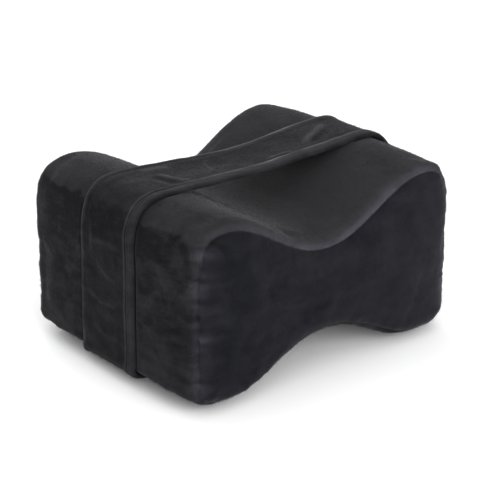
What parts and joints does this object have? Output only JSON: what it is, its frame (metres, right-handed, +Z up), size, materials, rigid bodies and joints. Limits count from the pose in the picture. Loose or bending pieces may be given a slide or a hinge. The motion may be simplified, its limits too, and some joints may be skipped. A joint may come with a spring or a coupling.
{
  "type": "knee pillow",
  "caption": "Hourglass cushion with a hollow on top and an arch below, for resting between the knees, with a loop strap round its middle that holds a leg in the hollow.",
  "frame": {"origin": "middle of the underside, on the surface that the pillow stands on", "axes": "+X across the two lobes, +Y along the hollow between them, +Z up through the hollow"},
  "size_m": [0.2578, 0.2064, 0.1429],
  "materials": {
    "cover_cloth": "short plush pile, black with a faint blue cast",
    "strap_cloth": "short plush pile, black, doubled with rolled hems"
  },
  "bodies": {
    "root": {"pillow": "cover_cloth", "strap": "strap_cloth"}
  },
  "joints": []
}
